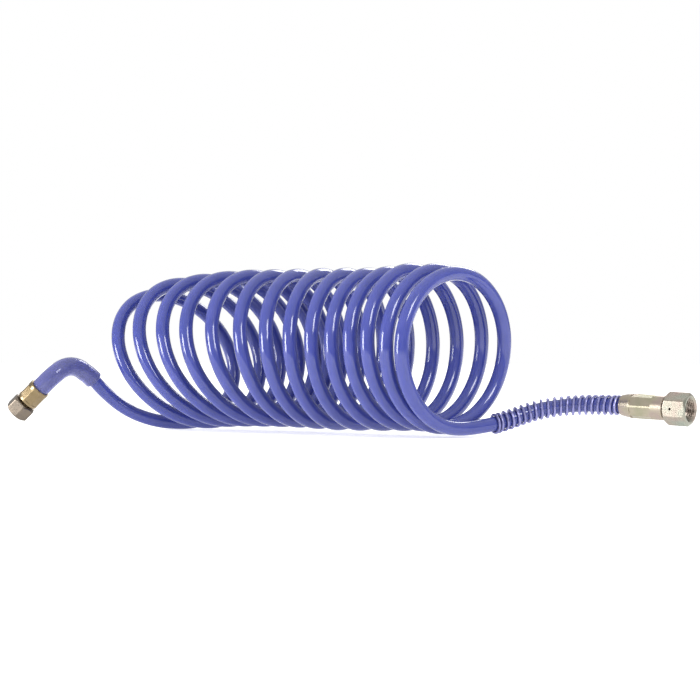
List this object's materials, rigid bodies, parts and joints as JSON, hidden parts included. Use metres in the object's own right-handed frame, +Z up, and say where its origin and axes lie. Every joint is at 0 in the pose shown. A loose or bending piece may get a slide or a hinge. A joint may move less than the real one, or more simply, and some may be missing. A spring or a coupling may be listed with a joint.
{
  "type": "coiled air hose",
  "caption": "Coiled air hose lying on its side, with a sleeved elbow lead and small union nut at one end and a spring-guarded lead and large union nut at the other.",
  "frame": {"origin": "centre of the box round the resting hose, on the surface it lies on", "axes": "+X along the coil towards the outlet fitting, +Y towards the side the outlet lead curves to, +Z up"},
  "size_m": [0.4629, 0.2161, 0.122],
  "materials": {
    "hose": "gloss",
    "clear_sleeve": "gloss",
    "spring_steel": "satin",
    "yellow_zinc": "satin",
    "nickel_plate": "satin",
    "brass": "satin",
    "retaining_steel": "polished",
    "seal_rubber": "matte"
  },
  "bodies": {
    "inlet_end": {"hose_coil": "hose", "hose_lead_inlet": "hose", "bend_sleeve": "clear_sleeve", "inlet_collar": "brass", "inlet_stem": "brass", "inlet_retaining_wire": "retaining_steel", "inlet_o_ring": "seal_rubber"},
    "outlet_end": {"hose_lead_outlet": "hose", "spring_guard": "spring_steel", "outlet_ferrule": "yellow_zinc", "outlet_stem": "yellow_zinc", "outlet_retaining_wire": "retaining_steel", "outlet_o_ring": "seal_rubber"},
    "inlet_swivel": {"inlet_nut": "nickel_plate"},
    "outlet_swivel": {"outlet_nut": "nickel_plate"}
  },
  "joints": [
    {"name": "coil_stretch", "type": "slide", "parent": "inlet_end", "child": "outlet_end", "axis": [1, 0, 0], "range_m": [-0.12, 2.4], "stiffness_N_per_m": 20, "deforming": ["hose_coil"]},
    {"name": "inlet_nut_spin", "type": "hinge", "parent": "inlet_end", "child": "inlet_swivel", "pos_m": [-0.22438, -0.09935, 0.01596], "axis": [-0.6972, -0.249, -0.6723], "continuous": true},
    {"name": "outlet_nut_spin", "type": "hinge", "parent": "outlet_end", "child": "outlet_swivel", "pos_m": [0.22586, 0.09685, 0.01979], "axis": [0.9966, 0.0675, -0.0466], "continuous": true}
  ]
}
